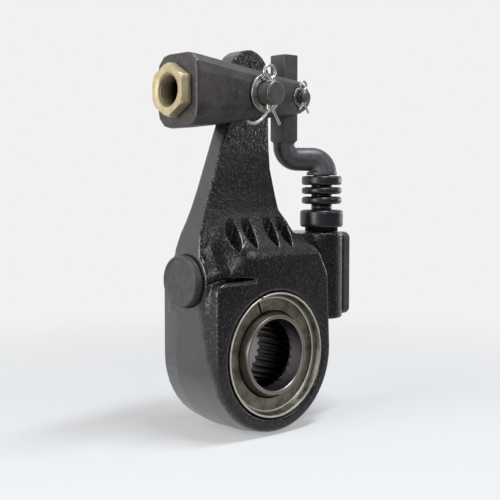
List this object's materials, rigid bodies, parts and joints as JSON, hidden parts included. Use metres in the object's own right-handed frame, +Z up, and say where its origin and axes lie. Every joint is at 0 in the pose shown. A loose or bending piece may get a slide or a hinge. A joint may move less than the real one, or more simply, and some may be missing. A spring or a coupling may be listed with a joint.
{
  "type": "brake slack adjuster",
  "caption": "Automatic slack adjuster for a truck's S-cam drum brake: cast arm with worm and splined worm wheel, clevis, link, rack and boot.",
  "frame": {"origin": "centre of the camshaft's splined hole, in the middle plane of the arm", "axes": "+Z up the arm from the camshaft to the clevis pin, +Y along the camshaft away from the front face, +X along the worm towards the side cover"},
  "size_m": [0.1301, 0.0531, 0.2072],
  "materials": {
    "housing_paint": "glossy black paint over a rough casting",
    "cover_paint": "flat dark grey",
    "forged_clevis": "oiled brown-black forging",
    "link_steel": "satin dark grey",
    "yellow_zinc": "yellow zinc plate",
    "bright_zinc": "bright zinc plate",
    "pin_steel": "dark oiled steel",
    "wheel_steel": "machined, lightly oxidised",
    "ring_steel": "pressed spring steel, olive sheen",
    "gear_steel": "hardened and oiled",
    "spring_steel": "drawn wire",
    "bronze": "machined bearing bronze",
    "rubber": "moulded black rubber"
  },
  "bodies": {
    "housing": {"housing": "housing_paint", "arm_bushing": "bronze", "thrust_washer_front": "bronze", "thrust_washer_rear": "bronze", "hub_seal_front": "rubber", "hub_seal_rear": "rubber", "retaining_ring_front": "ring_steel", "retaining_ring_rear": "ring_steel", "worm_bushing_left": "bronze", "worm_bushing_right": "bronze", "worm_cap": "cover_paint", "side_cover": "cover_paint", "worm_seal": "rubber", "cover_screw_1": "gear_steel", "cover_screw_2": "gear_steel", "cover_screw_3": "gear_steel", "cover_screw_4": "gear_steel", "grease_fitting": "bright_zinc", "boot": "rubber"},
    "wheel": {"worm_wheel": "wheel_steel"},
    "worm": {"worm_shaft": "gear_steel", "clutch_spring": "spring_steel"},
    "pinion": {"clutch_pinion": "gear_steel"},
    "link": {"link_rod": "link_steel", "rack": "gear_steel", "rack_pin": "spring_steel"},
    "clevis": {"clevis": "forged_clevis", "clevis_collar": "yellow_zinc", "clevis_pin": "pin_steel", "clevis_washer": "bright_zinc", "clevis_cotter": "bright_zinc", "link_pin": "pin_steel", "link_washer": "bright_zinc", "link_cotter": "bright_zinc"}
  },
  "joints": [
    {"name": "wheel_spin", "type": "hinge", "parent": "housing", "child": "wheel", "pos_m": [0, 0, 0], "axis": [0, 1, 0], "continuous": true},
    {"name": "worm_spin", "type": "hinge", "parent": "housing", "child": "worm", "pos_m": [0, 0, 0.04125], "axis": [1, 0, 0], "continuous": true},
    {"name": "clevis_swing", "type": "hinge", "parent": "housing", "child": "clevis", "pos_m": [-0.0035, 0, 0.1397], "axis": [0, 1, 0], "range_deg": [-15, 15]},
    {"name": "link_slide", "type": "slide", "parent": "housing", "child": "link", "axis": [0, 0, 1], "range_m": [-0.008, 0.008], "deforming": ["boot"]},
    {"name": "pinion_spin", "type": "hinge", "parent": "housing", "child": "pinion", "pos_m": [0, 0, 0.04125], "axis": [1, 0, 0], "range_deg": [-51, 51]}
  ],
  "couplings": [
    {"joint": "worm_spin", "follows": "wheel_spin", "ratio": -21},
    {"joint": "link_slide", "follows": "clevis_swing", "m_per_rad": -0.0303},
    {"joint": "pinion_spin", "follows": "clevis_swing", "ratio": 3.3667}
  ]
}
